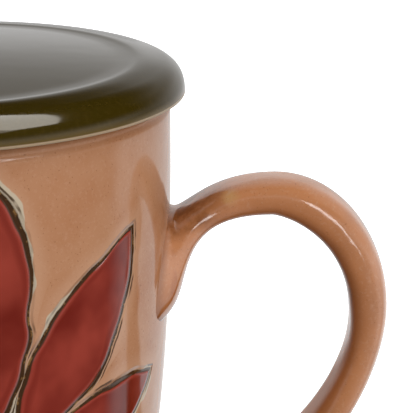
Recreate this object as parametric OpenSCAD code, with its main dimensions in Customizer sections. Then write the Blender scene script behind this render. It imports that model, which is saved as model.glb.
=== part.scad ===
// Lidded tea mug with a hanging infuser.
// Millimetres, +Z up. The origin is the middle of the foot, on the table, on the mug's own axis.
// The handle stands out along +X.

/* [Mug body] */
// Height of the rim above the table
rim_h = 100; // [90:0.5:115]
// Outer radius at the rim
rim_r = 42.5; // [40:0.5:48]
// How far the side draws in from the rim to the heel
taper_in = 7.7; // [4:0.1:9]
// Height of the heel above the table
heel_h = 6.5; // [5:0.5:9]
// How late the taper sets in, where a higher value keeps the top straighter
taper_power = 2.8; // [1.5:0.1:4]
// Wall thickness
wall_t = 3.8; // [3:0.1:4.5]
// Width of the flat land on top of the rim
rim_land = 1.6; // [1:0.1:2]
// Floor thickness
floor_t = 5; // [4:0.5:7]
// Radius of the fillet between floor and wall
floor_fillet = 10; // [6:0.5:14]
// How far the foot ring stands in from the heel
foot_in = 4.1; // [3:0.1:6]
// Width of the foot ring
foot_w = 3.6; // [3:0.1:5]
// Depth of the recess inside the foot ring
foot_recess = 2.2; // [1:0.1:3]

/* [Handle] */
// How far the handle stands out beyond the rim
handle_reach = 40.3; // [34:0.1:46]
// Drop from the rim to the crown of the handle
crown_drop = 15.1; // [10:0.1:20]
// How far the crown stands out beyond the rim
crown_out = 19.4; // [15:0.1:23]
// Drop from the rim to the outermost point of the handle
belly_drop = 40.4; // [36:0.1:46]
// Drop from the rim to the top of the upper joint
upper_joint_drop = 21.4; // [19:0.1:24]
// Height of the upper joint, down to the tip of its thumb-print
upper_joint_h = 20; // [18:0.5:26]
// Width of the upper joint
upper_joint_w = 23; // [16:0.5:25]
// Height of the lower joint's middle above the table
lower_joint_h = 17.5; // [15:0.5:24]
// Thickness of the lower joint from top to bottom
lower_joint_t = 11; // [9:0.5:14]
// Width of the lower joint
lower_joint_w = 17; // [14:0.5:20]
// Thickness of the strap at the crown
strap_t = 6.9; // [6:0.1:9]
// Width of the strap
strap_w = 11.5; // [9:0.5:14]
// How flat the strap's faces are, from 2 for an ellipse to 4 for nearly square
strap_squareness = 3; // [2:0.1:4]

/* [Lid] */
// How far the lid stands out over the rim
lid_overhang = 2.7; // [2.4:0.1:6]
// Height of the lid's widest line above its seat
lip_h = 0.2; // [0.1:0.1:1.5]
// How far inside the mug's edge the flat seat under the lid ends
seat_in = 0.8; // [0.4:0.1:1.2]
// How far inside the lid's edge the crest of its rounded rim lies
crest_in = 8; // [6:0.1:9.5]
// Height of the crest above the seat
crest_h = 5.95; // [4.5:0.05:8]
// Distance from the crest in to the valley
valley_in = 2.3; // [1.5:0.1:4]
// Depth of the valley below the crest
valley_depth = 0.1; // [0.1:0.05:1]
// Distance from the valley in to the dome's edge
dome_in = 3.2; // [1.6:0.1:4]
// Height of the middle of the dome above the seat
dome_h = 7.5; // [7.4:0.1:11]
// How much higher the dome's edge is than the crest
dome_edge_rise = 0.05; // [0:0.05:0.5]
// Thickness of the lid in the middle
lid_t = 4.2; // [3.6:0.1:5.2]
// Depth of the locating ring below the seat
key_depth = 6; // [5:0.5:9]
// Width of the locating ring
key_w = 3.6; // [3:0.1:5]
// Gap between the locating ring and the infuser
key_gap = 0.7; // [0.5:0.1:1.5]

/* [Infuser] */
// Gap between the infuser and the mug's wall where they come closest
basket_gap = 1.9; // [1.5:0.1:4]
// Clear height between the mug's floor and the infuser
well_h = 20.8; // [14:0.1:35]
// Thickness of the steel sheet
sheet_t = 0.5; // [0.4:0.05:0.8]
// How far inside the mug's edge the flange that hangs on the rim ends
flange_in = 1.5; // [1.3:0.1:2]
// Inside radius of the bend between flange and skirt
mouth_bend = 1.6; // [1:0.1:2.5]
// Height of the plain skirt below the bend
skirt_h = 10; // [7:0.5:16]
// How far the wall reaches up inside the skirt
weld_h = 5; // [3:0.5:6]
// Radius of a finger tab
tab_r = 7; // [5:0.5:9]
// How far a finger tab stands out beyond the flange
tab_out = 3.6; // [2.5:0.1:4]
// Diameter of the perforations
hole_d = 2; // [1:0.1:2.4]
// Distance between rows of perforations in the wall
row_pitch = 5; // [4:0.1:7]
// Number of perforations in a full row of the wall
row_holes = 36; // [24:2:44]
// Perforations left out on each side of the seam
seam_holes = 1; // [1:1:3]
// Distance between rings of perforations in the base
ring_pitch = 4.4; // [4:0.1:6]
// Height of the band round the bottom edge
band_h = 6; // [4:0.5:9]
// Width of the band's hem under the base
hem_w = 2.5; // [1.5:0.1:4]
// Height of the base's turned-up lip
base_lip_h = 2; // [1:0.5:6]

/* [Hidden] */
$fn = 96;

// How far a cutter runs past the face that it cuts
over = 1;
// Pull of a cubic that follows a quarter of an ellipse, as a share of its radius
round_pull = 0.552;
side_steps = 18;
curve_steps = 8;

// Points along a cubic curve, without its first point
function cubic(a, b, c, d, n = curve_steps) =
    [for (i = [1:n]) cubic_at(a, b, c, d, i / n)];
function cubic_at(a, b, c, d, t) =
    pow(1 - t, 3) * a + 3 * t * pow(1 - t, 2) * b + 3 * t * t * (1 - t) * c + pow(t, 3) * d;

// Points along an arc, both ends included
function arc(cx, cy, r, from, to, n = curve_steps) =
    [for (i = [0:n]) let (a = from + (to - from) * i / n) [cx + r * cos(a), cy + r * sin(a)]];

// Outer and inner radius of the cup at height z
function side_r(z) = rim_r - taper_in * pow(max(0, rim_h - z) / (rim_h - heel_h), taper_power);
function bore_r(z) = side_r(z) - wall_t;

// Mug: radii and fillets
heel_r = rim_r - taper_in;
foot_r = heel_r - foot_in;
floor_z = foot_recess + floor_t;
rim_outer_fillet = (wall_t - rim_land) * 0.55;
rim_inner_fillet = wall_t - rim_land - rim_outer_fillet;
foot_fillet = 0.7;
foot_h = 1.6;

// Infuser: it hangs on the rim, and keeps its gaps to the wall and the floor
basket_z = floor_z + well_h;
basket_r = bore_r(basket_z) - basket_gap - sheet_t;
skirt_r = basket_r + sheet_t;
bend_r = skirt_r + mouth_bend;
flange_r = rim_r - flange_in;
wall_z = basket_z + sheet_t;
skirt_top = rim_h - mouth_bend;
wall_top = skirt_top - skirt_h + weld_h;

// Lid: it rests on the infuser's flange, and its ring drops into the basket
seat_z = rim_h + sheet_t;
lid_r = rim_r + lid_overhang;
seat_r = rim_r - seat_in;
crest_r = lid_r - crest_in;
valley_r = crest_r - valley_in;
dome_r = valley_r - dome_in;
dome_edge_h = crest_h + dome_edge_rise;
key_r = basket_r - sheet_t - key_gap;
key_in = key_r - key_w;
key_edge = 0.9;

// ---------------------------------------------------------------- mug body

// Outline of the cup's outside, from the axis up to the rim's land
function outside() = let (
        foot = [foot_r, foot_h],
        heel = [heel_r, heel_h],
        pull = round_pull * (heel - foot)
    ) concat(
    [[0, 0], [foot_r - foot_fillet, 0]],
    arc(foot_r - foot_fillet, foot_fillet, foot_fillet, -90, 0),
    [foot],
    cubic(foot, foot + [pull.x, 0], heel - [0.2 * pull.x, pull.y], heel),
    [for (i = [1:side_steps])
        let (z = heel_h + (rim_h - rim_outer_fillet - heel_h) * i / side_steps) [side_r(z), z]],
    arc(rim_r - rim_outer_fillet, rim_h - rim_outer_fillet, rim_outer_fillet, 5, 90)
);

// Outline of the cup's inside, from the rim's land down to the axis
function inside() = let (
        top = rim_h - rim_inner_fillet,
        low = floor_z + floor_fillet,
        low_r = bore_r(low),
        flat_r = low_r - floor_fillet,
        pull = floor_fillet * round_pull
    ) concat(
    arc(bore_r(rim_h) + rim_inner_fillet, top, rim_inner_fillet, 90, 180),
    [for (i = [1:side_steps])
        let (z = top + (low - top) * i / side_steps) [bore_r(z), z]],
    cubic([low_r, low], [low_r - 0.2 * pull, low - pull], [flat_r + pull, floor_z], [flat_r, floor_z]),
    [[0, floor_z]]
);

module mug_body() {
    recess_r = foot_r - foot_w;
    color("#b5795a")
    difference() {
        rotate_extrude() polygon(concat(outside(), inside()));
        translate([0, 0, -over]) cylinder(r = recess_r, h = foot_recess + over);
    }
}

// ------------------------------------------------------------------ handle

// The strap's outer and inner edge, seen from the side, are chains of three cubics: from the
// upper joint over the crown, down round the belly, and back in to the lower joint.
root_in = 2.6;
upper_top = [side_r(rim_h - upper_joint_drop) - root_in, rim_h - upper_joint_drop];
upper_tip_h = upper_top.y - upper_joint_h;
upper_tip = [side_r(upper_tip_h) - root_in, upper_tip_h];
crown = [rim_r + crown_out, rim_h - crown_drop];
crown_in = crown - [1, strap_t];
belly = [rim_r + handle_reach, rim_h - belly_drop];
belly_in = belly - [strap_t, 2.7];
lower_foot = [side_r(lower_joint_h) - root_in, lower_joint_h - lower_joint_t / 2];
lower_top = lower_foot + [0, lower_joint_t];

// Pulls at each cubic's two ends, as shares of the way across and up between them
out_rise = [[0.19, -0.53], [0.675, 0]];
out_turn = [[0.545, 0], [0, 0.555]];
out_fall = [[0, 0.35], [0.655, 0]];
in_rise = [[0.465, 0.095], [1, 0]];
in_turn = [[0.13, 0], [0, 0.81]];
in_fall = [[0, 0.485], [0.48, -0.205]];

function span(a, d, pulls, n) = let (way = d - a)
    cubic(a, a + shared(way, pulls[0]), d - shared(way, pulls[1]), d, n);
function shared(way, pull) = [way.x * pull.x, way.y * pull.y];

function outer_edge(n) = concat([upper_top],
    span(upper_top, crown, out_rise, n),
    span(crown, belly, out_turn, n),
    span(belly, lower_foot, out_fall, n));

function inner_edge(n) = concat([upper_tip],
    span(upper_tip, crown_in, in_rise, n),
    span(crown_in, belly_in, in_turn, n),
    span(belly_in, lower_top, in_fall, n));

// Half the strap's width along the handle, for s from 0 at the upper joint to 3 at the lower one
function strap_half(s) =
    strap_w / 2
    + (upper_joint_w - strap_w) / 2 * pow(max(0, 1 - s), 2)
    + (lower_joint_w - strap_w) / 2 * pow(max(0, s - 2), 4);

// How much wider the strap is towards its inner edge, fading out from the upper joint to the crown
function thumb_print(s) = 0.3 * pow(max(0, 1 - s), 2);

// One ring of the strap, a rounded outline between an outer and an inner point
function ring(o, i, half, egg, sides) = let (mid = (o + i) / 2, reach = (o - i) / 2) [
    for (k = [0:sides - 1])
        let (a = 360 * k / sides, c = flatter(cos(a)), p = mid + reach * c) [
            p.x, half * flatter(sin(a)) * (1 - egg * c), p.y
        ]
];
function flatter(v) = sign(v) * pow(abs(v), 2 / strap_squareness);

module sweep(rings) {
    n = len(rings);
    m = len(rings[0]);
    points = [for (r = rings) each r];
    sides = [for (j = [0:n - 2], k = [0:m - 1])
        [j * m + k, j * m + (k + 1) % m, (j + 1) * m + (k + 1) % m, (j + 1) * m + k]];
    start = [for (k = [0:m - 1]) m - 1 - k];
    end = [for (k = [0:m - 1]) (n - 1) * m + k];
    polyhedron(points, concat([start], sides, [end]));
}

module handle() {
    steps = 14;
    sides = 28;
    outer = outer_edge(steps);
    inner = inner_edge(steps);
    rings = [for (j = [0:3 * steps])
        let (s = j / steps)
        ring(outer[j], inner[j], strap_half(s), thumb_print(s), sides)];
    color("#a96f4d")
    difference() {
        sweep(rings);
        rotate_extrude() polygon(concat(outside(), [[0, rim_h]]));
    }
}

// --------------------------------------------------------------------- lid

// Height of the dome at radius r, a parabola between its middle and its edge
function dome(r) = dome_h - (dome_h - dome_edge_h) * pow(r / dome_r, 2);

// The lid's outline is drawn from the middle of its top, out over the crest to its widest line,
// and back in under it.
lid_edge = [lid_r, lip_h];
flat_pull = 0.4;

function lid_top() = let (
        edge = [dome_r, dome_edge_h],
        valley = [valley_r, crest_h - valley_depth],
        crest = [crest_r, crest_h],
        slope = 2 * (dome_h - dome_edge_h) / dome_r,
        dip = flat_pull * dome_in,
        rise = [flat_pull * valley_in, 0],
        brow = [0.72 * (lid_r - crest_r), 0],
        cheek = [0, 0.7 * (crest_h - lip_h)]
    ) concat(
    [for (i = [0:side_steps]) let (r = dome_r * i / side_steps) [r, dome(r)]],
    cubic(edge, edge + [dip, -slope * dip], valley - [dip, 0], valley, 5),
    cubic(valley, valley + rise, crest - rise, crest, 5),
    cubic(crest, crest + brow, lid_edge + cheek, lid_edge, 12)
);

function lid_under() = let (
        seat = [seat_r, 0],
        low = key_edge - key_depth,
        round_w = 5,
        round_h = 3,
        round_in = key_in - round_w,
        under = dome(round_in) - lid_t,
        top_h = dome(key_in) - lid_t
    ) concat(
    cubic(lid_edge, lid_edge - [0, 0.6 * lip_h], seat + [flat_pull * (lid_r - seat_r), 0], seat, 6),
    arc(key_r + key_edge, -key_edge, key_edge, 90, 180, 4),
    arc(key_r - key_edge, low, key_edge, 0, -90, 4),
    arc(key_in + key_edge, low, key_edge, -90, -180, 4),
    cubic([key_in, top_h - round_h], [key_in, top_h - round_h * (1 - round_pull)],
        [round_in + round_w * round_pull, under - 0.2], [round_in, under], 5),
    [for (i = [1:curve_steps]) let (r = round_in * (1 - i / curve_steps)) [r, dome(r) - lid_t]]
);

module lid() {
    color("#33270f")
    translate([0, 0, seat_z])
    rotate_extrude() polygon(concat(lid_top(), lid_under()));
}

// ----------------------------------------------------------------- infuser

// Pressed flange, bend and skirt, with two finger tabs across the mug
module infuser_rim() {
    tab_weld = 2;
    color("#c9cacb")
    union() {
        rotate_extrude() polygon(concat(
            [[basket_r, skirt_top - skirt_h], [skirt_r, skirt_top - skirt_h]],
            arc(bend_r, skirt_top, mouth_bend, 180, 90),
            [[flange_r, rim_h], [flange_r, seat_z]],
            arc(bend_r, skirt_top, mouth_bend + sheet_t, 90, 180)
        ));
        for (side = [-1, 1])
            difference() {
                translate([0, side * (flange_r + tab_out - tab_r), rim_h])
                    cylinder(r = tab_r, h = sheet_t);
                translate([0, 0, rim_h - over]) cylinder(r = flange_r - tab_weld, h = sheet_t + 2 * over);
            }
    }
}

// Perforated tube, with a plain seam at the back and a lap welded over it
module infuser_wall() {
    inner_r = basket_r - sheet_t;
    tube_h = wall_top - wall_z;
    first_row = wall_z + band_h + row_pitch / 2;
    last_row = skirt_top - skirt_h - row_pitch / 2;
    rows = floor((last_row - first_row) / row_pitch);
    lap_w = 4;
    lap_angle = lap_w / inner_r * 180 / PI;
    lap_z = wall_z + max(base_lip_h, band_h) + over;
    color("#b9bbbd")
    difference() {
        union() {
            difference() {
                translate([0, 0, wall_z]) cylinder(r = basket_r, h = tube_h);
                translate([0, 0, wall_z - over]) cylinder(r = inner_r, h = tube_h + 2 * over);
            }
            rotate([0, 0, 180 - lap_angle / 2])
                translate([0, 0, lap_z])
                rotate_extrude(angle = lap_angle)
                translate([inner_r - sheet_t, 0])
                square([sheet_t * 1.5, wall_top - skirt_h / 2 - lap_z]);
        }
        for (j = [0:rows], i = [seam_holes:row_holes - 1 - seam_holes])
            translate([0, 0, first_row + j * row_pitch])
            rotate([0, 90, 180 + (i + (j % 2) / 2 + 0.25) * 360 / row_holes])
            translate([0, 0, inner_r - sheet_t - over])
            cylinder(d = hole_d, h = 3 * sheet_t + 2 * over);
    }
}

// Perforated disc with a turned-up lip that stands inside the wall
module infuser_base() {
    lip_r = basket_r - sheet_t;
    rings = floor((basket_r - hem_w - hole_d) / ring_pitch);
    color("#b9bbbd")
    difference() {
        translate([0, 0, wall_z]) cylinder(r = lip_r, h = base_lip_h);
        translate([0, 0, wall_z + sheet_t]) cylinder(r = lip_r - sheet_t, h = base_lip_h);
        translate([0, 0, wall_z - over]) cylinder(d = hole_d, h = sheet_t + 2 * over);
        for (j = [1:rings], i = [0:6 * j - 1])
            rotate([0, 0, i * 60 / j])
            translate([j * ring_pitch, 0, wall_z - over])
            cylinder(d = hole_d, h = sheet_t + 2 * over);
    }
}

// Band that wraps the bottom edge of the wall, with a hem turned in under the base
module infuser_band() {
    hem_r = skirt_r - hem_w;
    bevel = 0.3;
    color("#d4d5d6")
    rotate_extrude() polygon([
        [hem_r, basket_z], [skirt_r - bevel, basket_z], [skirt_r, basket_z + bevel],
        [skirt_r, basket_z + band_h], [basket_r, basket_z + band_h],
        [basket_r, wall_z], [hem_r, wall_z]
    ]);
}

mug_body();
handle();
lid();
infuser_rim();
infuser_wall();
infuser_base();
infuser_band();
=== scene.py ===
import math

import bmesh
import bpy
from mathutils import Matrix, Vector


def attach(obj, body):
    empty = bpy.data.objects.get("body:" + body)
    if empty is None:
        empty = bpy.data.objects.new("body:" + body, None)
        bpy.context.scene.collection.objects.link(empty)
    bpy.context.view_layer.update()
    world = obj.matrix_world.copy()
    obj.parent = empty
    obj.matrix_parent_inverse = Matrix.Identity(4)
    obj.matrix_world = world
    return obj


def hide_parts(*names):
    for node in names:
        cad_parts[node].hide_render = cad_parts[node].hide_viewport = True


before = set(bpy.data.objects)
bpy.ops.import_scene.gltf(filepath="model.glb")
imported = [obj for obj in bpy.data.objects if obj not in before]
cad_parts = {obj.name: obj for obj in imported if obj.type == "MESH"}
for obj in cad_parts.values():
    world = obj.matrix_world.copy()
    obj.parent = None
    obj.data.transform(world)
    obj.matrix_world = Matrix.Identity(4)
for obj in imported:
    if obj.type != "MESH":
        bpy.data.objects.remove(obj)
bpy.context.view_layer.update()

bl_info = {
    "name": "Lidded tea mug",
    "version": (1, 0, 0),
    "blender": (4, 5, 0),
    "location": "3D Viewport > Sidebar > Tea mug",
    "description": "Stoneware mug with a loop handle, a domed lid and a hanging steel infuser",
    "category": "Add Mesh",
}

MM = 0.001
FULL_TURN = math.tau
ROUND_PULL = 0.552  # reach of a cubic's handles round a quarter circle, as a share of its radius
TURN_STEPS = 256
SIDE_STEPS = 48
DOME_STEPS = 32
CORNER_STEPS = 12
RIM_STEPS = 8
STRAP_STEPS = 32
STRAP_SIDES = 64
WELD = 0.005 * MM
GLAZE_ROUGHNESS = 0.1
GLAZE_IOR = 1.5
SOFT = 0.12  # half the width in millimetres over which one glaze gives way to the next


# ------------------------------------------------------------------ sizes and colours


def length(name, text, value, low, high):
    return bpy.props.FloatProperty(
        name=name,
        description=text,
        default=value * MM,
        min=low * MM,
        max=high * MM,
        unit="LENGTH",
        precision=4,
    )


def colour(name, text, value):
    return bpy.props.FloatVectorProperty(
        name=name,
        description=text,
        default=value,
        size=3,
        min=0.0,
        max=1.0,
        subtype="COLOR",
    )


class CupSizes(bpy.types.PropertyGroup):
    """Sizes of the cup"""

    rim_height: length("Rim height", "Height of the rim above the table", 100, 90, 115)
    rim_radius: length("Rim radius", "Outer radius at the rim", 42.5, 40, 48)
    taper: length("Taper", "How far the side draws in from the rim to the heel", 7.7, 4, 9)
    heel_height: length("Heel height", "Height of the heel above the table", 6.5, 5, 9)
    taper_power: bpy.props.FloatProperty(
        name="Late taper",
        description="How late the taper sets in",
        default=2.8,
        min=1.5,
        max=4.0,
    )
    wall: length("Wall", "Thickness of the wall", 3.8, 3, 4.5)
    land: length("Land", "Flat width on top of the rim", 1.6, 1, 2)
    roll: length("Roll", "How far the side rolls in just under the rim", 0.44, 0, 0.6)
    roll_height: length("Roll height", "Height over which the side rolls in", 1.3, 1, 3)
    floor: length("Floor", "Thickness of the floor", 5, 4, 7)
    floor_fillet: length("Floor fillet", "Radius between floor and wall", 10, 6, 12)
    foot_inset: length("Foot inset", "How far the foot ring stands in from the heel", 4.1, 3, 6)
    foot_width: length("Foot width", "Width of the foot ring", 3.6, 3, 5)
    foot_recess: length("Foot recess", "Depth inside the foot ring", 2.2, 1, 3)


class HandleSizes(bpy.types.PropertyGroup):
    """Sizes of the handle"""

    reach: length("Reach", "How far the handle stands out beyond the rim", 40.3, 34, 46)
    crown_drop: length("Crown drop", "From the rim down to the crown", 15.1, 10, 20)
    crown_out: length("Crown out", "From the rim out to the crown", 19.4, 15, 23)
    belly_drop: length("Belly drop", "From the rim down to the outermost point", 40.4, 36, 46)
    upper_drop: length("Upper joint drop", "From the rim down to the upper joint", 21.4, 19, 24)
    upper_height: length("Upper joint height", "Height of the upper joint", 20, 18, 26)
    upper_width: length("Upper joint width", "Width of the upper joint", 23, 16, 25)
    lower_height: length(
        "Lower joint height", "Middle of the lower joint above the table", 17.5, 15, 24
    )
    lower_thickness: length("Lower joint thickness", "Top to bottom of the lower joint", 11, 9, 14)
    lower_width: length("Lower joint width", "Width of the lower joint", 17, 14, 20)
    thickness: length("Strap thickness", "Thickness of the strap at the crown", 6.9, 6, 9)
    width: length("Strap width", "Width of the strap", 11.5, 9, 14)
    squareness: bpy.props.FloatProperty(
        name="Squareness",
        description="How flat the strap's faces are, from 2 for an ellipse to 4 for nearly square",
        default=3.0,
        min=2.0,
        max=4.0,
    )
    fillet: length("Fillet", "How far the glaze fills the corner between strap and cup", 0.6, 0, 2)


class LidSizes(bpy.types.PropertyGroup):
    """Sizes of the lid"""

    seat_height: length("Seat height", "Height of the lid's seat above the table", 100.5, 90, 116)
    overhang: length("Overhang", "How far the lid stands out over the rim", 2.7, 2.4, 6)
    lip_height: length("Lip height", "Height of the widest line above the seat", 0.2, 0.1, 1.5)
    seat_inset: length(
        "Seat inset", "How far inside the mug's edge the flat seat ends", 0.8, 0.4, 1.2
    )
    crest_inset: length("Crest inset", "From the lid's edge in to its crest", 8, 6, 9.5)
    crest_height: length("Crest height", "Height of the crest above the seat", 5.95, 4.5, 8)
    valley_inset: length("Valley inset", "From the crest in to the valley", 2.3, 1.5, 4)
    valley_depth: length("Valley depth", "Depth of the valley below the crest", 0.1, 0.1, 1)
    dome_inset: length("Dome inset", "From the valley in to the dome's edge", 3.2, 1.6, 4)
    dome_height: length("Dome height", "Height of the dome above the seat", 7.5, 7.4, 11)
    dome_edge_rise: length(
        "Dome edge rise", "How much higher the dome's edge is than the crest", 0.05, 0, 0.5
    )
    thickness: length("Thickness", "Thickness in the middle", 4.2, 3.6, 5.2)
    key_radius: length("Ring radius", "Outer radius of the locating ring", 31.4, 28, 35)
    key_width: length("Ring width", "Width of the locating ring", 3.6, 3, 5)
    key_depth: length("Ring depth", "Depth of the locating ring below the seat", 6, 4, 9)


class Glazes(bpy.types.PropertyGroup):
    """Colours of the glazes, the clay and the artwork, some of them also used as painted shade on
    the handle
    """

    tan: colour("Tan glaze", "Translucent glaze on the cup", (0.43, 0.208, 0.108))
    tan_deep: colour("Deep tan", "Tan glaze where it lies thick", (0.38, 0.16, 0.072))
    tan_pale: colour("Pale tan", "Tan glaze where it breaks thin", (0.5, 0.28, 0.17))
    strap: colour("Strap glaze", "Tan glaze on the handle", (0.45, 0.185, 0.078))
    # Painted shade: this colour darkens the inner side of the handle's loop, where less light
    # reaches.
    strap_shade: colour(
        "Deep strap glaze", "Tan glaze inside the handle's loop", (0.33, 0.11, 0.032)
    )
    # Amber also darkens the crevice where strap and cup meet, partly as painted shade.
    amber: colour("Amber", "Glaze pooled in the corners", (0.13, 0.035, 0.005))
    olive: colour("Olive", "Dark glaze on the lid", (0.036, 0.023, 0.002))
    olive_edge: colour(
        "Olive edge", "Dark glaze where it breaks at the lid's edge", (0.1, 0.062, 0.014)
    )
    clay: colour("Bare clay", "Unglazed stoneware", (0.36, 0.26, 0.165))
    cream: colour("Cream slip", "Slip left bare beside the carved lines", (0.5, 0.41, 0.3))
    red: colour("Red glaze", "Glaze inside the petals", (0.29, 0.04, 0.024))
    red_deep: colour("Deep red", "Red glaze where it lies thick", (0.13, 0.008, 0.003))
    line: colour("Carved line", "Dark stain in the carved lines", (0.045, 0.018, 0.005))
    gold: colour("Gold stain", "Thin stain beside the carved lines", (0.2, 0.1, 0.03))
    # Painted shade: darker vertical streaks that stand in for the shade between the ridges of the
    # thumb-pressed joint.
    ridge_shade: colour("Streak", "Glaze run thin down the pressed joint", (0.3, 0.09, 0.03))
    drip: colour("Drip", "Pale drip on the strap", (0.5, 0.33, 0.13))


class Pattern(bpy.types.PropertyGroup):
    """The fans of petals carved round the cup"""

    base_height: length("Fan base", "Height of a fan's base above the table", 41.5, 30, 60)
    petal_start: length("Petal start", "From the fan's base to where a petal starts", 9, 4, 20)
    petal_length: length("Petal length", "Length of the middle petal", 46, 20, 60)
    petal_width: length("Petal width", "Width of the middle petal", 15.5, 6, 20)
    petal_spread: bpy.props.FloatProperty(
        name="Petal spread",
        description="Angle between neighbouring petals",
        default=math.radians(37),
        min=math.radians(20),
        max=math.radians(60),
        subtype="ANGLE",
        unit="ROTATION",
    )
    fan_spread: bpy.props.FloatProperty(
        name="Fan spread",
        description="Angle round the cup between the back fan and a side fan",
        default=math.radians(108),
        min=math.radians(90),
        max=math.radians(130),
        subtype="ANGLE",
        unit="ROTATION",
    )


# ----------------------------------------------------------------------- outlines


def cubic(a, b, c, d, steps):
    """Points along a cubic curve, without its first point."""
    points = []
    for i in range(1, steps + 1):
        t = i / steps
        points.append(
            a * (1 - t) ** 3 + b * 3 * t * (1 - t) ** 2 + c * 3 * t * t * (1 - t) + d * t**3
        )
    return points


def arc(x, z, radius, start, end, steps):
    """Points along an arc, both ends included; the angles are in degrees."""
    points = []
    for i in range(steps + 1):
        a = math.radians(start + (end - start) * i / steps)
        points.append(Vector((x + radius * math.cos(a), z + radius * math.sin(a))))
    return points


def side_radius(cup, z):
    """Outer radius of the cup at a height."""
    down = max(0.0, cup.rim_height - z) / (cup.rim_height - cup.heel_height)
    return cup.rim_radius - cup.taper * down**cup.taper_power


def foot_outline(cup, heel):
    """From the middle of the underside, round the foot ring and up to the heel."""
    edge = 0.7 * MM
    foot_height = 1.6 * MM
    heel_draw = 0.2
    ring_out = heel.x - cup.foot_inset
    ring_in = ring_out - cup.foot_width
    foot = Vector((ring_out, foot_height))
    pull = (heel - foot) * ROUND_PULL
    points = [Vector((0, cup.foot_recess))]
    points += arc(ring_in - edge, cup.foot_recess - edge, edge, 90, 0, steps=5)
    points += arc(ring_in + edge / 2, edge / 2, edge / 2, 180, 270, steps=4)
    points += arc(ring_out - edge, edge, edge, -90, 0, steps=6)
    points += [foot]
    leave = foot + Vector((pull.x, 0))
    arrive = heel - Vector((heel_draw * pull.x, pull.y))
    points += cubic(foot, leave, arrive, heel, CORNER_STEPS)
    return points


def cup_outline(cup):
    """From the middle of the underside, up the side, over the rim and down to the floor."""
    outer_share = 0.55
    rim_start = 8
    floor_draw = 0.2
    rim, height = cup.rim_radius, cup.rim_height
    heel = Vector((rim - cup.taper, cup.heel_height))
    outer_fillet = (cup.wall - cup.land) * outer_share
    inner_fillet = cup.wall - cup.land - outer_fillet
    top = height - outer_fillet
    shoulder = top - cup.roll_height
    points = foot_outline(cup, heel)
    for i in range(1, SIDE_STEPS + 1):
        z = heel.y + (shoulder - heel.y) * i / SIDE_STEPS
        points.append(Vector((side_radius(cup, z), z)))
    for i in range(1, CORNER_STEPS + 1):
        t = i / CORNER_STEPS
        z = shoulder + cup.roll_height * t
        points.append(Vector((side_radius(cup, z) - cup.roll * t * t * (3 - 2 * t), z)))
    points += arc(rim - cup.roll - outer_fillet, top, outer_fillet, rim_start, 90, RIM_STEPS)
    mouth = height - inner_fillet
    points += arc(rim - cup.wall + inner_fillet, mouth, inner_fillet, 90, 180, RIM_STEPS)
    floor_z = cup.foot_recess + cup.floor
    low = floor_z + cup.floor_fillet
    for i in range(1, SIDE_STEPS + 1):
        z = mouth + (low - mouth) * i / SIDE_STEPS
        points.append(Vector((side_radius(cup, z) - cup.wall, z)))
    side = points[-1]
    flat = Vector((side.x - cup.floor_fillet, floor_z))
    pull = cup.floor_fillet * ROUND_PULL
    leave = side - Vector((floor_draw * pull, pull))
    arrive = flat + Vector((pull, 0))
    points += cubic(side, leave, arrive, flat, CORNER_STEPS)
    points.append(Vector((0, floor_z)))
    return points


def ring_outline(lid, dome):
    """From the seat round the locating ring, and along the ceiling to the axis."""
    round_r = 0.9 * MM
    ceiling_inset, ceiling_drop = 5 * MM, 3 * MM
    up_reach, in_reach, in_dip = 1.6 * MM, 2.7 * MM, 0.2 * MM
    ring_out, ring_in = lid.key_radius, lid.key_radius - lid.key_width
    low = round_r - lid.key_depth
    up = Vector((ring_in, dome(ring_in) - lid.thickness - ceiling_drop))
    ceiling_r = ring_in - ceiling_inset
    ceiling = Vector((ceiling_r, dome(ceiling_r) - lid.thickness))
    leave = up + Vector((0, up_reach))
    arrive = ceiling + Vector((in_reach, -in_dip))
    points = arc(ring_out + round_r, -round_r, round_r, 90, 180, steps=6)
    points += arc(ring_out - round_r, low, round_r, 0, -90, steps=6)
    points += arc(ring_in + round_r, low, round_r, -90, -180, steps=6)
    points += [up] + cubic(up, leave, arrive, ceiling, RIM_STEPS)
    for i in range(1, CORNER_STEPS + 1):
        r = ceiling_r * (1 - i / CORNER_STEPS)
        points.append(Vector((r, dome(r) - lid.thickness)))
    return points


def lid_outline(cup, lid):
    """From the middle of the dome, through the valley, over the crest and round underneath."""
    draw, brow_draw, cheek_draw, tuck_draw = 0.4, 0.72, 0.7, 0.6
    lid_r = cup.rim_radius + lid.overhang
    seat = Vector((cup.rim_radius - lid.seat_inset, 0))
    crest = Vector((lid_r - lid.crest_inset, lid.crest_height))
    valley = Vector((crest.x - lid.valley_inset, crest.y - lid.valley_depth))
    edge = Vector((valley.x - lid.dome_inset, crest.y + lid.dome_edge_rise))
    lip = Vector((lid_r, lid.lip_height))
    fall = (lid.dome_height - edge.y) / edge.x**2

    def dome(r):
        return lid.dome_height - fall * r * r

    dip = draw * lid.dome_inset
    leave = edge + Vector((dip, -2 * fall * edge.x * dip))
    rise = Vector((draw * lid.valley_inset, 0))
    brow = Vector((brow_draw * (lid_r - crest.x), 0))
    cheek = Vector((0, cheek_draw * (crest.y - lip.y)))
    tuck = Vector((0, tuck_draw * lip.y))
    under = Vector((draw * (lid_r - seat.x), 0))
    across = [edge.x * i / DOME_STEPS for i in range(DOME_STEPS + 1)]
    points = [Vector((r, dome(r))) for r in across]
    points += cubic(edge, leave, valley - Vector((dip, 0)), valley, RIM_STEPS)
    points += cubic(valley, valley + rise, crest - rise, crest, RIM_STEPS)
    points += cubic(crest, crest + brow, lip + cheek, lip, DOME_STEPS)
    points += cubic(lip, lip - tuck, seat + under, seat, RIM_STEPS)
    points += ring_outline(lid, dome)
    return [p + Vector((0, lid.seat_height)) for p in points]


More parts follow.
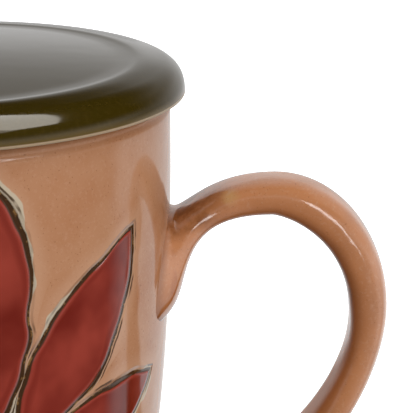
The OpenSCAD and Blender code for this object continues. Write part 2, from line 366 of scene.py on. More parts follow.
def strap_lines(cup, size):
    """The strap's outer and inner line, from the upper joint over the crown to the lower one."""
    sunk = 2.6 * MM
    crown_shift, belly_shift = MM, 2.7 * MM
    rim, height = cup.rim_radius, cup.rim_height

    def on_cup(z):
        return Vector((side_radius(cup, z) - sunk, z))

    upper_top = on_cup(height - size.upper_drop)
    upper_tip = on_cup(upper_top.y - size.upper_height)
    crown = Vector((rim + size.crown_out, height - size.crown_drop))
    crown_in = crown - Vector((crown_shift, size.thickness))
    belly = Vector((rim + size.reach, height - size.belly_drop))
    belly_in = belly - Vector((size.thickness, belly_shift))
    low_x = on_cup(size.lower_height).x
    lower_foot = Vector((low_x, size.lower_height - size.lower_thickness / 2))
    lower_top = lower_foot + Vector((0, size.lower_thickness))

    def span(a, d, leave, arrive):
        """A cubic; leave and arrive are its handles' reach, as shares of the way."""
        way = d - a
        b = a + Vector((way.x * leave[0], way.y * leave[1]))
        c = d - Vector((way.x * arrive[0], way.y * arrive[1]))
        return cubic(a, b, c, d, STRAP_STEPS)

    outer = [upper_top] + span(upper_top, crown, leave=(0.19, -0.53), arrive=(0.675, 0))
    outer += span(crown, belly, leave=(0.545, 0), arrive=(0, 0.555))
    outer += span(belly, lower_foot, leave=(0, 0.35), arrive=(0.655, 0))
    inner = [upper_tip] + span(upper_tip, crown_in, leave=(0.465, 0.095), arrive=(1, 0))
    inner += span(crown_in, belly_in, leave=(0.13, 0), arrive=(0, 0.81))
    inner += span(belly_in, lower_top, leave=(0, 0.485), arrive=(0.48, -0.205))
    return outer, inner


def strap_rings(cup, size):
    """Rounded rings across the strap, wide at the joints and swelling where they meet the cup."""
    egg_share = 0.3
    fillet_reach = 1.8 * MM

    def flatter(v):
        return math.copysign(abs(v) ** (2 / size.squareness), v)

    rings = []
    for i, (outer, inner) in enumerate(zip(*strap_lines(cup, size))):
        spans = i / STRAP_STEPS  # 0 at the upper joint, 1 at the crown, 2 at the belly, 3 below
        upper, lower = max(0, 1 - spans) ** 2, max(0, spans - 2) ** 4
        half = size.width / 2
        half += (size.upper_width - size.width) / 2 * upper
        half += (size.lower_width - size.width) / 2 * lower
        egg = egg_share * upper
        mid, reach = (outer + inner) / 2, (outer - inner) / 2
        ring = []
        for k in range(STRAP_SIDES):
            a = FULL_TURN * k / STRAP_SIDES
            c = flatter(math.cos(a))
            p = mid + reach * c
            place = Vector((p.x, half * flatter(math.sin(a)) * (1 - egg * c), p.y))
            out = math.hypot(place.x, place.y) - side_radius(cup, place.z)
            near = max(0.0, 1 - max(0.0, out) / fillet_reach) ** 2
            from_mid = place - Vector((mid.x, 0, mid.y))
            ring.append(place + from_mid.normalized() * size.fillet * near)
        rings.append(ring)
    return rings


# --------------------------------------------------------------------------- meshes


def finished(name, bm, body, node, material):
    """Makes the mesh an object, in its place, that rides on a body and stands for a CAD node."""
    for face in bm.faces:
        face.smooth = True
    mesh = bpy.data.meshes.new(name)
    bm.to_mesh(mesh)
    bm.free()
    mesh.materials.append(material)
    obj = bpy.data.objects.new(name, mesh)
    bpy.context.scene.collection.objects.link(obj)
    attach(obj, body)
    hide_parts(node)


def spun(points):
    """A closed solid of revolution about the Z axis; its outline starts and ends on the axis."""
    bm = bmesh.new()
    chain = [bm.verts.new((p.x, 0, p.y)) for p in points]
    for a, b in zip(chain, chain[1:]):
        bm.edges.new((a, b))
    bmesh.ops.spin(
        bm,
        geom=bm.verts[:] + bm.edges[:],
        cent=(0, 0, 0),
        axis=(0, 0, 1),
        dvec=(0, 0, 0),
        angle=FULL_TURN,
        steps=TURN_STEPS,
        use_merge=True,
        use_normal_flip=False,
        use_duplicate=False,
    )
    bmesh.ops.remove_doubles(bm, verts=bm.verts[:], dist=WELD)
    bmesh.ops.recalc_face_normals(bm, faces=bm.faces[:])
    return bm


def lofted(rings, sides):
    """A closed solid through rings of points, each a list as long as sides."""
    bm = bmesh.new()
    loops = []
    for ring in rings:
        made = bmesh.ops.create_circle(bm, cap_ends=False, segments=sides, radius=1.0)["verts"]
        for vert, place in zip(made, ring):
            vert.co = place
        loops.append(made)
    for near, far in zip(loops, loops[1:]):
        edges = {e for v in near for e in v.link_edges if e.other_vert(v) in near}
        edges |= {e for v in far for e in v.link_edges if e.other_vert(v) in far}
        bmesh.ops.bridge_loops(bm, edges=list(edges))
    for end in (loops[0], loops[-1]):
        bmesh.ops.contextual_create(bm, geom=end)
    bmesh.ops.recalc_face_normals(bm, faces=bm.faces[:])
    return bm


# ---------------------------------------------------------------------- materials


class Nodes:
    """A node tree that is put together with short calls."""

    def __init__(self, tree):
        self.tree = tree
        tree.nodes.clear()

    def add(self, kind, inputs=None, **settings):
        node = self.tree.nodes.new(kind)
        for key, value in settings.items():
            setattr(node, key, value)
        for key, value in (inputs or {}).items():
            self.feed(node.inputs[key], value)
        return node

    def feed(self, socket, value):
        if isinstance(value, bpy.types.NodeSocket):
            self.tree.links.new(value, socket)
        else:
            socket.default_value = value

    def calc(self, operation, *values):
        node = self.add("ShaderNodeMath", dict(enumerate(values)), operation=operation)
        return node.outputs[0]

    def hypot(self, a, b):
        squares = (self.calc("MULTIPLY", a, a), self.calc("MULTIPLY", b, b))
        return self.calc("SQRT", self.calc("ADD", *squares))

    def vector(self, operation, *values):
        """A vector, or a number for LENGTH and DISTANCE."""
        node = self.add("ShaderNodeVectorMath", dict(enumerate(values)), operation=operation)
        return node.outputs[1 if operation in {"LENGTH", "DISTANCE"} else 0]

    def split(self, vector):
        return self.add("ShaderNodeSeparateXYZ", {0: vector}).outputs

    def mix(self, share, a, b):
        """Colour a, with a share of colour b laid over it."""
        node = self.add("ShaderNodeMix", data_type="RGBA")
        self.feed(node.inputs[0], share)
        for socket, value in ((node.inputs[6], a), (node.inputs[7], b)):
            self.feed(socket, value if isinstance(value, bpy.types.NodeSocket) else (*value, 1))
        return node.outputs[2]


class Paint(Nodes):
    """A material, measured in millimetres."""

    def __init__(self, name):
        self.material = bpy.data.materials.new(name)
        self.material.use_nodes = True
        super().__init__(self.material.node_tree)
        self.shader = self.add("ShaderNodeBsdfPrincipled")
        self.add("ShaderNodeOutputMaterial", {0: self.shader.outputs[0]})
        place = self.add("ShaderNodeTexCoord").outputs["Object"]
        self.place = self.vector("MULTIPLY", place, (1 / MM, 1 / MM, 1 / MM))
        self.x, self.y, self.z = self.split(self.place)

    def from_axis(self):
        """Distance from the cup's axis."""
        return self.vector("LENGTH", self.vector("MULTIPLY", self.place, (1, 1, 0)))

    def attribute(self, name):
        return self.add("ShaderNodeAttribute", attribute_name=name).outputs["Fac"]

    def noise(self, scale, detail=2.0, rough=0.5, place=None, out="Fac"):
        """Noise round 0.5, with its scale in features per millimetre."""
        inputs = {"Vector": place or self.place, "Scale": scale, "Detail": detail}
        return self.add("ShaderNodeTexNoise", {**inputs, "Roughness": rough}).outputs[out]

    def waver(self, span, **noise):
        """Noise round nought that swings by half of span each way."""
        return self.calc("MULTIPLY_ADD", self.noise(**noise), span, -span / 2)

    def step(self, value, low, high, out_low, out_high):
        """Smooth change from out_low to out_high as value goes from low to high."""
        inputs = {"Value": value, 1: low, 2: high, 3: out_low, 4: out_high}
        settings = {"interpolation_type": "SMOOTHSTEP", "clamp": True}
        return self.add("ShaderNodeMapRange", inputs, **settings).outputs[0]

    def rise(self, value, low, high, most=1.0):
        return self.step(value, low, high, 0.0, most)

    def fade(self, value, low, high, most=1.0):
        return self.step(value, low, high, most, 0.0)

    def bump(self, height, distance, below=None):
        """Relief with its height in millimetres when distance is one millimetre."""
        inputs = {"Height": height, "Distance": distance * MM, "Strength": 1.0}
        if below:
            inputs["Normal"] = below
        return self.add("ShaderNodeBump", inputs).outputs[0]

    def finish(self, colour, roughness, normal=None, **constants):
        self.feed(self.shader.inputs["Base Color"], colour)
        self.feed(self.shader.inputs["Roughness"], roughness)
        if normal:
            self.feed(self.shader.inputs["Normal"], normal)
        for key, value in constants.items():
            self.shader.inputs[key.replace("_", " ")].default_value = value
        return self.material


def speckled(paint, colours, base):
    """Fine iron specks and soft clouding over a glaze colour."""
    clouds = paint.noise(scale=0.06, detail=3.0, rough=0.6)
    mottling = paint.noise(scale=1.6, detail=2.0, rough=0.65)
    specks = paint.noise(scale=2.6, detail=1.0, rough=0.5)
    toned = paint.mix(paint.rise(clouds, 0.4, 0.68), base, colours.tan_deep)
    toned = paint.mix(paint.rise(mottling, 0.5, 0.72, most=0.3), toned, colours.tan_pale)
    return paint.mix(paint.rise(specks, 0.66, 0.78, most=0.45), toned, colours.amber)


def fan_place(paint, pattern):
    """How far across and up from the nearest fan's base, with a hand-drawn sway.

    One fan is at the back, opposite the handle, and one on each side.
    """
    sway_across, sway_up = 4.0, 3.0
    from_back = [paint.calc("MULTIPLY", axis, -1.0) for axis in (paint.y, paint.x)]
    turn = paint.calc("ABSOLUTE", paint.calc("ARCTAN2", *from_back))
    on_side = paint.calc("GREATER_THAN", turn, pattern.fan_spread / 2)
    turn = paint.calc("SUBTRACT", turn, paint.calc("MULTIPLY", on_side, pattern.fan_spread))
    drift = paint.noise(scale=0.09, detail=1.0, out="Color")
    sway = paint.split(paint.vector("SUBTRACT", drift, (0.5, 0.5, 0.5)))
    round_cup = paint.calc("MULTIPLY", turn, paint.hypot(paint.x, paint.y))
    above_base = paint.calc("SUBTRACT", paint.z, pattern.base_height / MM)
    across = paint.calc("MULTIPLY_ADD", sway[0], sway_across, round_cup)
    up = paint.calc("MULTIPLY_ADD", sway[1], sway_up, above_base)
    return across, up


def petal_edge(paint, pattern):
    """Distance outward from the edge of the nearest petal, in a fan of five."""
    outermost, shrink = 2.0, 0.05
    spread = pattern.petal_spread
    half_long = pattern.petal_length / MM / 2
    half_wide = pattern.petal_width / MM / 2
    middle = pattern.petal_start / MM + half_long
    bend = (half_long**2 + half_wide**2) / (2 * half_wide)
    across, up = fan_place(paint, pattern)
    lean = paint.calc("ARCTAN2", across, up)
    which = paint.calc("ROUND", paint.calc("DIVIDE", lean, spread))
    which = paint.calc("MINIMUM", paint.calc("MAXIMUM", which, -outermost), outermost)
    lean = paint.calc("SUBTRACT", lean, paint.calc("MULTIPLY", which, spread))
    which = paint.calc("ABSOLUTE", which)
    which = paint.calc("MULTIPLY", which, paint.calc("ADD", which, 1.0))
    size = paint.calc("MULTIPLY_ADD", which, -shrink, 1.0)
    away = paint.calc("DIVIDE", paint.hypot(across, up), size)
    side = paint.calc("ABSOLUTE", paint.calc("MULTIPLY", away, paint.calc("SINE", lean)))
    side = paint.calc("ADD", side, bend - half_wide)
    along = paint.calc("MULTIPLY", away, paint.calc("COSINE", lean))
    along = paint.calc("SUBTRACT", along, middle)
    outward = paint.calc("SUBTRACT", paint.hypot(side, along), bend)
    return paint.calc("MULTIPLY", outward, size)


def inside_cup(paint, cup):
    """One on the cup's inner wall, nought outside."""
    tall = (cup.rim_height - cup.heel_height) / MM
    down = paint.calc("DIVIDE", paint.calc("SUBTRACT", cup.rim_height / MM, paint.z), tall)
    drawn_in = paint.calc("POWER", paint.calc("MAXIMUM", down, 0.0), cup.taper_power)
    middle = (cup.rim_radius - cup.wall / 2) / MM
    middle = paint.calc("MULTIPLY_ADD", drawn_in, -cup.taper / MM, middle)
    return paint.calc("LESS_THAN", paint.from_axis(), middle)


def carved_lines(paint, colours, glaze, edge, ragged):
    """A carved and stained line round each petal, with slip and a thin second line beside it.

    Widths and places are in millimetres, and edge counts outward from a petal's edge.
    """
    widest, narrowest = 1.05, 0.55
    halo_start, halo_end, halo_share = 1.5, 4.5, 0.6
    slip_width = 1.3
    second_at, second_core, second_side, second_share = 0.45, 0.1, 0.28, 0.9
    core_end, core_start, line_end = -0.5, -0.25, -0.15

    halo = paint.fade(edge, halo_start, halo_end, halo_share)
    colour = paint.mix(halo, glaze, colours.tan_pale)
    width = paint.step(paint.noise(scale=0.09, detail=1.0), 0.3, 0.7, widest, narrowest)
    beyond = paint.calc("SUBTRACT", paint.calc("ADD", edge, ragged), width)

    bare_gap = paint.rise(paint.noise(scale=0.07), 0.52, 0.6, slip_width)
    slip = paint.fade(paint.calc("SUBTRACT", beyond, bare_gap), -SOFT, SOFT)
    colour = paint.mix(slip, colour, colours.cream)

    off_second = paint.calc("ABSOLUTE", paint.calc("SUBTRACT", beyond, second_at))
    second = paint.fade(off_second, second_core, second_side, second_share)
    patchy = paint.rise(paint.noise(scale=0.13), 0.45, 0.55)
    colour = paint.mix(paint.calc("MULTIPLY", second, patchy), colour, colours.line)

    thin = paint.rise(paint.noise(scale=0.5, detail=3.0, rough=0.7), 0.5, 0.62)
    stain = paint.mix(thin, colours.line, colours.gold)
    stain = paint.mix(paint.fade(beyond, core_end, core_start), stain, colours.line)
    return paint.mix(paint.fade(beyond, line_end, SOFT), colour, stain)


def red_petals(paint, colours, around, edge, ragged):
    """Mottled red glaze inside the petals, deep along the line and thin right beside it."""
    pool_start, pool_end, pool_share = -2.6, -0.9, 0.6
    thin_end, thin_share = -0.2, 0.2
    ragged_share = 0.4
    deep = paint.rise(paint.noise(scale=0.06, detail=3.0, rough=0.55), 0.3, 0.68)
    deep = paint.calc("MAXIMUM", deep, paint.rise(edge, pool_start, pool_end, pool_share))
    deep = paint.calc("MULTIPLY", deep, paint.step(edge, pool_end, thin_end, 1.0, thin_share))
    red = paint.mix(deep, colours.red, colours.red_deep)
    border = paint.calc("MULTIPLY_ADD", ragged, ragged_share, edge)
    return paint.mix(paint.fade(border, -SOFT, SOFT), around, red)


def cup_material(colours, pattern, cup):
    """Tan glaze with carved and red-glazed petals, bare clay on the foot ring."""
    far_off = 100.0
    bare_end, glaze_start, bare_roughness = 0.9, 1.3, 0.7
    carve_at, carve_core, carve_side, carve_depth = 0.5, 0.2, 0.9, 0.3
    throw_depth = 0.25

    paint = Paint("cup_glaze")
    edge = petal_edge(paint, pattern)
    edge = paint.calc("MULTIPLY_ADD", inside_cup(paint, cup), far_off, edge)
    ragged = paint.waver(0.5, scale=0.4, detail=3.0, rough=0.6)
    colour = speckled(paint, colours, colours.tan)
    colour = carved_lines(paint, colours, colour, edge, ragged)
    colour = red_petals(paint, colours, colour, edge, ragged)
    bare = paint.fade(paint.z, bare_end, glaze_start)
    colour = paint.mix(bare, colour, colours.clay)

    off_groove = paint.calc("ABSOLUTE", paint.calc("SUBTRACT", edge, carve_at))
    groove = paint.calc("MULTIPLY", paint.fade(off_groove, carve_core, carve_side), -carve_depth)
    relief = paint.bump(groove, 1.0)
    relief = paint.bump(paint.noise(scale=0.07), throw_depth, relief)
    roughness = paint.calc("MULTIPLY", bare, bare_roughness)
    roughness = paint.calc("MAXIMUM", roughness, GLAZE_ROUGHNESS)
    return paint.finish(colour, roughness, relief, IOR=GLAZE_IOR)


def pooled_amber(paint, out, drop, ragged):
    """How thick the glaze lies round the upper joint, and the darkening where strap and cup meet,
    partly pooled glaze and partly painted shade in the crevice.
    """
    near_end, near_start = 4.0, 13.0
    band_end, band_start = 3.0, 6.0
    crest_start, crest_end = -3.5, -2.0
    crevice_share, thin_share = 0.6, 0.55
    ragged_drop = paint.calc("ADD", drop, ragged)
    near = paint.fade(paint.calc("ADD", out, ragged), near_end, near_start)
    band = paint.fade(ragged_drop, band_end, band_start)
    crest = paint.rise(ragged_drop, crest_start, crest_end)
    thick = paint.calc("MULTIPLY", near, paint.calc("MULTIPLY", band, crest))
    cloudy = paint.noise(scale=0.35, detail=3.0, rough=0.6)
    thick = paint.calc("MULTIPLY", thick, paint.step(cloudy, 0.35, 0.7, 1.0, thin_share))
    # Painted shade, partly pooled glaze: the crevice where the strap meets the cup is darkened in
    # amber.
    crevice_pool_and_shade = paint.rise(paint.attribute("pool"), 0.8, 1.0, crevice_share)
    return paint.calc("MAXIMUM", thick, crevice_pool_and_shade)


def handle_material(colours, cup, size):
    """Tan glaze that pools amber round the upper joint, with painted shade inside the loop, in the
    crevice where strap and cup meet and on the pressed joint's ridges.
    """
    inner_shade_share, amber_share = 0.75, 0.85
    rise_out, joint_lift = 0.3, 1.0
    root_end, root_start, press_start, press_end = 3.0, 9.0, 5.0, 9.0
    drawn_out = (1, 1, 0.12)
    drip_out, drip_drop, drip_in = 10.7, 17.6, 0.4
    drip_core, drip_side, drip_share = 0.2, 2.2, 0.4
    throw_depth = 0.5

    paint = Paint("handle_glaze")
    rim, height = cup.rim_radius / MM, cup.rim_height / MM
    out = paint.calc("SUBTRACT", paint.x, rim)
    drop = paint.calc("SUBTRACT", height - size.upper_drop / MM + joint_lift, paint.z)
    drop = paint.calc("MULTIPLY_ADD", out, rise_out, drop)
    ragged = paint.waver(3.0, scale=0.22, detail=3.0, rough=0.6)

    colour = speckled(paint, colours, colours.strap)
    # Painted shade: the inner side of the loop, facing the cup, is darkened.
    inner = paint.calc("ADD", paint.attribute("inner"), paint.waver(0.3, scale=0.1))
    colour = paint.mix(paint.rise(inner, 0.4, 0.85, inner_shade_share), colour, colours.strap_shade)
    # Painted shade of the pressed joint's ridges, as darker vertical streaks.
    drawn = paint.vector("MULTIPLY", paint.place, drawn_out)
    ridge_shade_lines = paint.rise(paint.noise(scale=0.55, place=drawn), 0.5, 0.62, most=0.4)
    root = paint.fade(out, root_end, root_start)
    pressed = paint.calc("MULTIPLY", root, paint.rise(drop, press_start, press_end))
    colour = paint.mix(paint.calc("MULTIPLY", ridge_shade_lines, pressed), colour, colours.ridge_shade)
    # Amber pooled round the upper joint, with painted shade in the crevice against the cup.
    thick = pooled_amber(paint, out, drop, ragged)
    colour = paint.mix(paint.calc("MULTIPLY", thick, amber_share), colour, colours.amber)

    tip = (rim + drip_out, drip_in - size.width / 2 / MM, height - drip_drop)
    away = paint.calc("ADD", paint.vector("DISTANCE", paint.place, tip), ragged)
    drip = paint.fade(away, drip_core, drip_side, drip_share)
    colour = paint.mix(drip, colour, colours.drip)
    relief = paint.bump(paint.noise(scale=0.09), throw_depth)
    return paint.finish(colour, GLAZE_ROUGHNESS, relief, IOR=GLAZE_IOR)


def lid_material(colours, cup, lid):
    """Dark olive glaze that breaks to amber above a lip of bare clay."""
    break_end, break_start = 0.4, 1.9
    lip_end, glaze_start, lip_roughness = 0.5, 0.75, 0.35
    crest_in, crest_out, crest_fall = 0.8, 4.4, 0.6
    throw_depth = 0.08

    paint = Paint("lid_glaze")
    above = paint.calc("SUBTRACT", paint.z, lid.seat_height / MM)
    level = paint.calc("ADD", above, paint.waver(0.8, scale=0.12, detail=3.0))
    breaking = paint.fade(level, break_end, break_start)
    colour = paint.mix(breaking, colours.olive, colours.olive_edge)
    mottling = paint.noise(scale=1.1, detail=2.0, rough=0.6)
    colour = paint.mix(paint.rise(mottling, 0.45, 0.75, most=0.12), colour, colours.olive_edge)
    lip = paint.fade(above, lip_end, glaze_start)
    colour = paint.mix(lip, colour, colours.clay)

    crest = (cup.rim_radius + lid.overhang - lid.crest_inset) / MM
    fall = paint.rise(paint.from_axis(), crest - crest_in, crest + crest_out, -crest_fall)
    relief = paint.bump(fall, 1.0)
    relief = paint.bump(paint.noise(scale=0.06), throw_depth, relief)
    roughness = paint.calc("MULTIPLY", lip, lip_roughness)
    roughness = paint.calc("MAXIMUM", roughness, GLAZE_ROUGHNESS)
    warm = (1, 0.95, 0.86, 1)
    return paint.finish(colour, roughness, relief, IOR=GLAZE_IOR, Specular_Tint=warm)


def steel_material(name, grain, roughness):
    """Stainless sheet with a fine drawn grain."""
    dull, bright = (0.62, 0.62, 0.62), (0.74, 0.74, 0.74)
    low, high = 0.3, 0.7
    uneven = 0.3
    drawn_out = (1.0, 1.0, 0.06)

    paint = Paint(name)
    drawn = paint.vector("MULTIPLY", paint.place, drawn_out)
    lines = paint.noise(scale=4.0, detail=2.0, rough=0.6, place=drawn)
    tone = paint.mix(paint.rise(lines, low, high), dull, bright)
    smooth, coarse = roughness * (1 - uneven), roughness * (1 + uneven)
    rough = paint.step(lines, low, high, smooth, coarse)
    return paint.finish(tone, rough, paint.bump(lines, grain), Metallic=1.0)


# -------------------------------------------------------------------------- studio


class Sky(Nodes):
    """The studio round the object, as brightness by direction."""

    def __init__(self, world):
        world.use_nodes = True
        super().__init__(world.node_tree)
        way = self.add("ShaderNodeTexCoord").outputs["Generated"]
        level = self.vector("NORMALIZE", self.vector("MULTIPLY", way, (1, 1, 0)))
        self.right, self.back, _ = self.split(level)
        self.up = self.split(way)[2]

    def ramp(self, value, *stops):
        """Brightness from pairs of a value between -1 and 1 and a grey."""
        share = self.add("ShaderNodeMapRange", {0: value, 1: -1.0}).outputs[0]
        table = self.add("ShaderNodeValToRGB", {0: share})
        points = table.color_ramp.elements
        while len(points) < len(stops):
            points.new(0.5)
        for point, (where, grey) in zip(points, stops):
            point.position = (where + 1) / 2
            point.color = (grey, grey, grey, 1)
        return table.outputs[0]

    def finish(self, colour):
        light = self.add("ShaderNodeBackground", {0: colour, 1: 1.0})
        self.add("ShaderNodeOutputWorld", {0: light.outputs[0]})


def paint_sky(sky):
    """A bright screen behind, a dim room in front and a table that glows below the horizon."""
    glow = ((-1, 0.5), (-0.5, 1.0), (-0.32, 0.98), (-0.15, 0.75), (0.13, 0.78))
    fading = ((0.2, 0.68), (0.27, 0.58), (0.33, 0.5), (0.41, 0.48), (0.5, 0.24), (0.58, 0.07))
    screen = sky.ramp(sky.up, *glow, *fading, (0.68, 0))
    room_low = ((-1, 0.1), (-0.4, 0.12), (-0.18, 0.2), (-0.05, 0.7))
    room_high = ((0.0, 0.85), (0.08, 0.45), (0.16, 0.12), (0.24, 0), (1, 0))
    room = sky.ramp(sky.up, *room_low, *room_high)
    dimmed = sky.ramp(sky.back, (0, 0), (0.45, 0.7))
    room = sky.mix(dimmed, room, (0, 0, 0))
    table_back = sky.ramp(sky.back, (0.12, 0), (0.3, 1))
    table_right = sky.ramp(sky.right, (-0.8, 0.15), (-0.15, 1))
    table = sky.calc("MULTIPLY", table_back, table_right)
    behind = sky.ramp(sky.back, (0.37, 0), (0.6, 0.3), (0.79, 0.72), (1, 1))
    under = sky.ramp(sky.up, (-0.18, 1), (-0.06, 0))
    sky.finish(sky.mix(sky.mix(under, behind, table), room, screen))


def soft_box(
    name, target, along, facing, span, width, radiance, distance=1.0, spread=180, handle=None
):
    """A long rectangular light, from span[0] to span[1] along its axis, that faces the target.

    With handle it lights reflections only, on the handle alone for INCLUDE and on everything
    else for EXCLUDE. Without, it is for fill only and shows in no reflection.
    """
    along = Vector(along).normalized()
    away = Vector(facing)
    away = (away - away.dot(along) * along).normalized()
    light = bpy.data.lights.new(name, "AREA")
    light.shape = "RECTANGLE"
    light.size, light.size_y = span[1] - span[0], width
    light.energy = radiance * math.pi * light.size * light.size_y
    light.spread = math.radians(spread)
    obj = bpy.data.objects.new(name, light)
    turn = Matrix((along, away.cross(along), away)).transposed()
    middle = Vector(target) + away * distance + along * (span[0] + span[1]) / 2
    obj.matrix_world = Matrix.Translation(middle) @ turn.to_4x4()
    bpy.context.scene.collection.objects.link(obj)
    if not handle:
        obj.visible_glossy = False
        return
    obj.visible_diffuse = False
    group = bpy.data.collections.new(name)
    group.objects.link(bpy.data.objects["handle_strap"])
    group.collection_objects[0].light_linking.link_state = handle
    obj.light_linking.receiver_collection = group


def place_lights():
    """A ceiling to reflect, three fill lights and four gleams for the handle."""
    upright, level = (0, 0, 1), (0.83, 0.55, 0)
    ceiling = {
        "target": (0, 0, 0.105),
        "along": (0.82, -0.55, 0.16),
        "span": (-1, 2.2),
        "handle": "EXCLUDE",
    }
    box, border = (-0.117, 0.111, 0.987), (-0.4, -0.351, 0.847)
    soft_box("ceiling_box", facing=box, width=0.85, radiance=6.3, **ceiling)
    soft_box("ceiling_border", facing=border, width=0.335, radiance=2.3, **ceiling)

    fill = {
        "target": (0, 0, 0.06),
        "along": level,
        "span": (-1.3, 1.3),
        "width": 2.2,
        "distance": 1.6,
    }
    soft_box("fill_box", facing=(0.42, -0.66, 0.62), radiance=2.2, **fill)
    soft_box("bounce_box", facing=(0.55, -0.65, -0.5), radiance=0.42, **fill)
    soft_box("back_box", facing=(-0.42, 0.72, 0.55), radiance=1.1, **fill)

    gleam = {"target": (0.07, 0, 0.08), "handle": "INCLUDE"}
    strip = {"along": upright, "facing": (0.22, -0.97, 0), "span": (-0.26, 0.04), "width": 0.09}
    sheen = {"along": upright, "facing": (0.98, 0.14, 0.14), "span": (-2.2, 2.2), "width": 4.4}
    crown = {"along": (1, 0, 0), "facing": (0, 0.63, 0.77), "span": (-0.9, 1.5), "width": 2.4}
    low = {
        "along": (0.707, 0.707, 0),
        "facing": (0.62, -0.62, -0.47),
        "span": (-0.85, 0.85),
        "width": 1.7,
    }
    soft_box("strip_light", radiance=10.0, **strip, **gleam)
    soft_box("sheen_light", radiance=0.85, spread=132, **sheen, **gleam)
    soft_box("crown_light", radiance=0.33, spread=100, **crown, **gleam)
    soft_box("low_light", radiance=0.22, spread=80, **low, **gleam)


def lay_floor():
    """A plain pale floor and backdrop, which leave the object's light as it is."""
    white, pale, roughness, glow = (1, 1, 1, 1), (0.9, 0.9, 0.9, 1), 0.8, 0.9
    floor_half, backdrop_radius = 6.0, 5.5
    paint = Paint("floor_white")
    paint.finish(pale, roughness, Emission_Color=white, Emission_Strength=glow)
    floor, backdrop = bmesh.new(), bmesh.new()
    bmesh.ops.create_grid(floor, x_segments=1, y_segments=1, size=floor_half)
    bmesh.ops.create_icosphere(backdrop, subdivisions=3, radius=backdrop_radius)
    bmesh.ops.reverse_faces(backdrop, faces=backdrop.faces[:])
    for name, bm in (("floor", floor), ("backdrop", backdrop)):
        mesh = bpy.data.meshes.new(name)
        bm.to_mesh(mesh)
        bm.free()
        mesh.materials.append(paint.material)
        obj = bpy.data.objects.new(name, mesh)
        obj.visible_glossy = False
        obj.visible_diffuse = False
        obj.visible_shadow = False
        bpy.context.scene.collection.objects.link(obj)


def place_camera(scene):
    """The camera, which looks down on the rim and the handle."""
    tilt = 16.875
    camera = bpy.data.cameras.new("camera")
    camera.lens = 137.98
    camera.sensor_width = 36.0
    camera.clip_start = 0.01
    camera.clip_end = 20.0
    obj = bpy.data.objects.new("camera", camera)
    obj.location = (0.0493, -0.2820, 0.16435)
    obj.rotation_euler = (math.radians(90 - tilt), 0, 0)
    scene.collection.objects.link(obj)
    scene.camera = obj


# ---------------------------------------------------------------------- operators


class MUG_OT_cup(bpy.types.Operator):
    """Spin the cup, with its foot ring, taper and rounded rim"""

    bl_idname = "mug.cup"
    bl_label = "Cup"

    def execute(self, context):
        scene = context.scene
        material = cup_material(scene.mug_glazes, scene.mug_pattern, scene.mug_cup)
        bm = spun(cup_outline(scene.mug_cup))
        finished("cup", bm, "mug", "mug_body", material)
        return {"FINISHED"}


class MUG_OT_handle(bpy.types.Operator):
    """Loft the handle's strap from its thumb-pressed upper joint to its lower one"""

    bl_idname = "mug.handle"
    bl_label = "Handle"

    def execute(self, context):
        pool_reach = 6 * MM
        cup, size = context.scene.mug_cup, context.scene.mug_handle
        bm = lofted(strap_rings(cup, size), STRAP_SIDES)
        # pool is 1 at the cup's surface; the glaze darkens the crevice by it, partly pooled glaze
        # and partly painted shade.
        pool = bm.verts.layers.float.new("pool")
        inner = bm.verts.layers.float.new("inner")
        for i, vert in enumerate(bm.verts):
            out = math.hypot(vert.co.x, vert.co.y) - side_radius(cup, vert.co.z)
            vert[pool] = max(0.0, 1 - out / pool_reach)
            # inner runs from 0 on the outer face to 1 on the inner face; the glaze paints shade
            # inside the loop by it.
            vert[inner] = 0.5 - 0.5 * math.cos(FULL_TURN * (i % STRAP_SIDES) / STRAP_SIDES)
        material = handle_material(context.scene.mug_glazes, cup, size)
        finished("handle_strap", bm, "mug", "handle", material)
        return {"FINISHED"}


class MUG_OT_lid(bpy.types.Operator):
    """Spin the lid, with its dome, rounded rim, bare lip and locating ring"""

    bl_idname = "mug.lid"
    bl_label = "Lid"

    def execute(self, context):
        cup, lid = context.scene.mug_cup, context.scene.mug_lid
        material = lid_material(context.scene.mug_glazes, cup, lid)
        bm = spun(lid_outline(cup, lid))
        finished("lid_disc", bm, "lid", "lid", material)
        return {"FINISHED"}


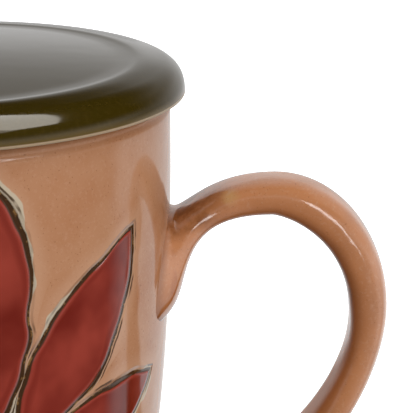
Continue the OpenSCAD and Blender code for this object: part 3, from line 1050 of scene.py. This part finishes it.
class MUG_OT_infuser(bpy.types.Operator):
    """Give the infuser's sheet parts their polished and brushed steel"""

    bl_idname = "mug.infuser"
    bl_label = "Infuser"

    def execute(self, context):
        bright = steel_material("polished_sheet", grain=0.004, roughness=0.12)
        brushed = steel_material("brushed_sheet", grain=0.01, roughness=0.26)
        finishes = {
            "infuser_rim": bright,
            "infuser_band": bright,
            "infuser_wall": brushed,
            "infuser_base": brushed,
        }
        for node, material in finishes.items():
            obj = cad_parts[node]
            obj.data.materials.clear()
            obj.data.materials.append(material)
        return {"FINISHED"}


class MUG_OT_stage(bpy.types.Operator):
    """Lay the pale floor and set up the soft light and the camera"""

    bl_idname = "mug.stage"
    bl_label = "Stage"

    def execute(self, context):
        scene = context.scene
        lay_floor()
        scene.world = bpy.data.worlds.new("studio")
        paint_sky(Sky(scene.world))
        place_lights()
        place_camera(scene)
        scene.view_settings.view_transform = "Standard"
        return {"FINISHED"}


OPERATORS = (MUG_OT_cup, MUG_OT_handle, MUG_OT_lid, MUG_OT_infuser, MUG_OT_stage)


class MUG_PT_panel(bpy.types.Panel):
    """Buttons for each piece and the stage"""

    bl_idname = "MUG_PT_panel"
    bl_label = "Tea mug"
    bl_space_type = "VIEW_3D"
    bl_region_type = "UI"
    bl_category = "Tea mug"

    def draw(self, context):
        for group in GROUPS:
            box = self.layout.box()
            settings = getattr(context.scene, group)
            for key in settings.bl_rna.properties.keys():
                if key not in {"rna_type", "name"}:
                    box.prop(settings, key)
        for operator in OPERATORS:
            self.layout.operator(operator.bl_idname)


GROUPS = {
    "mug_cup": CupSizes,
    "mug_handle": HandleSizes,
    "mug_lid": LidSizes,
    "mug_glazes": Glazes,
    "mug_pattern": Pattern,
}


def register():
    for cls in (*GROUPS.values(), *OPERATORS, MUG_PT_panel):
        bpy.utils.register_class(cls)
    for name, cls in GROUPS.items():
        setattr(bpy.types.Scene, name, bpy.props.PointerProperty(type=cls))


def unregister():
    for name in GROUPS:
        delattr(bpy.types.Scene, name)
    for cls in reversed((*GROUPS.values(), *OPERATORS, MUG_PT_panel)):
        bpy.utils.unregister_class(cls)


def main():
    register()
    bpy.ops.mug.cup()
    bpy.ops.mug.handle()
    bpy.ops.mug.lid()
    bpy.ops.mug.infuser()
    bpy.ops.mug.stage()


if __name__ == "__main__":
    main()
